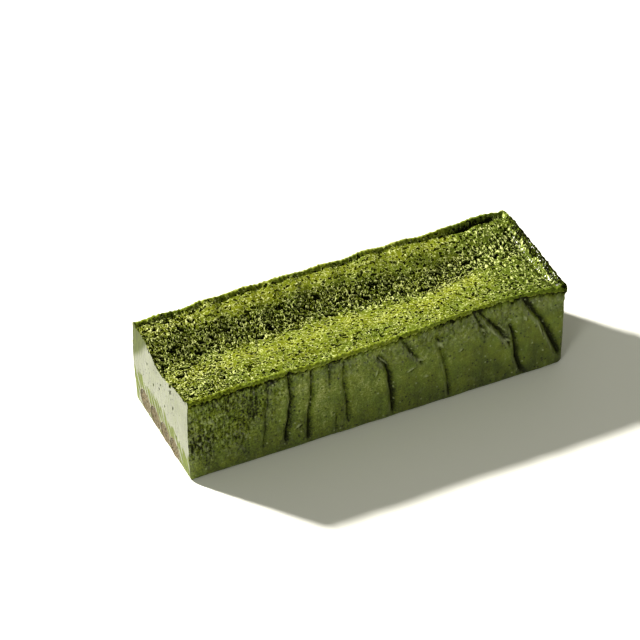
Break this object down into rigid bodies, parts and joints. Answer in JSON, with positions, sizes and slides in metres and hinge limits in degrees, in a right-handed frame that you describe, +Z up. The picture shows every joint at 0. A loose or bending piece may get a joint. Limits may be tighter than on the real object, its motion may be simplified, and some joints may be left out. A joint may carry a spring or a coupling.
{
  "type": "matcha terrine",
  "caption": "Cut loaf of green tea terrine with a sunken porous top, creased moulded walls and black beans set along the base of its smooth cut end.",
  "frame": {"origin": "middle of the flat base, under the centre of the loaf's box", "axes": "+X along the loaf from its cut end to its moulded end, +Y from the shown creased side to the far side, +Z up out of the sunken top"},
  "size_m": [0.16, 0.0538, 0.04],
  "materials": {
    "custard": "moist satin, porous on top",
    "bean": "wet dark skin with a cut grey-brown inside"
  },
  "bodies": {
    "root": {"terrine": "custard", "bean_1": "bean", "bean_2": "bean", "bean_3": "bean", "bean_4": "bean"}
  },
  "joints": []
}
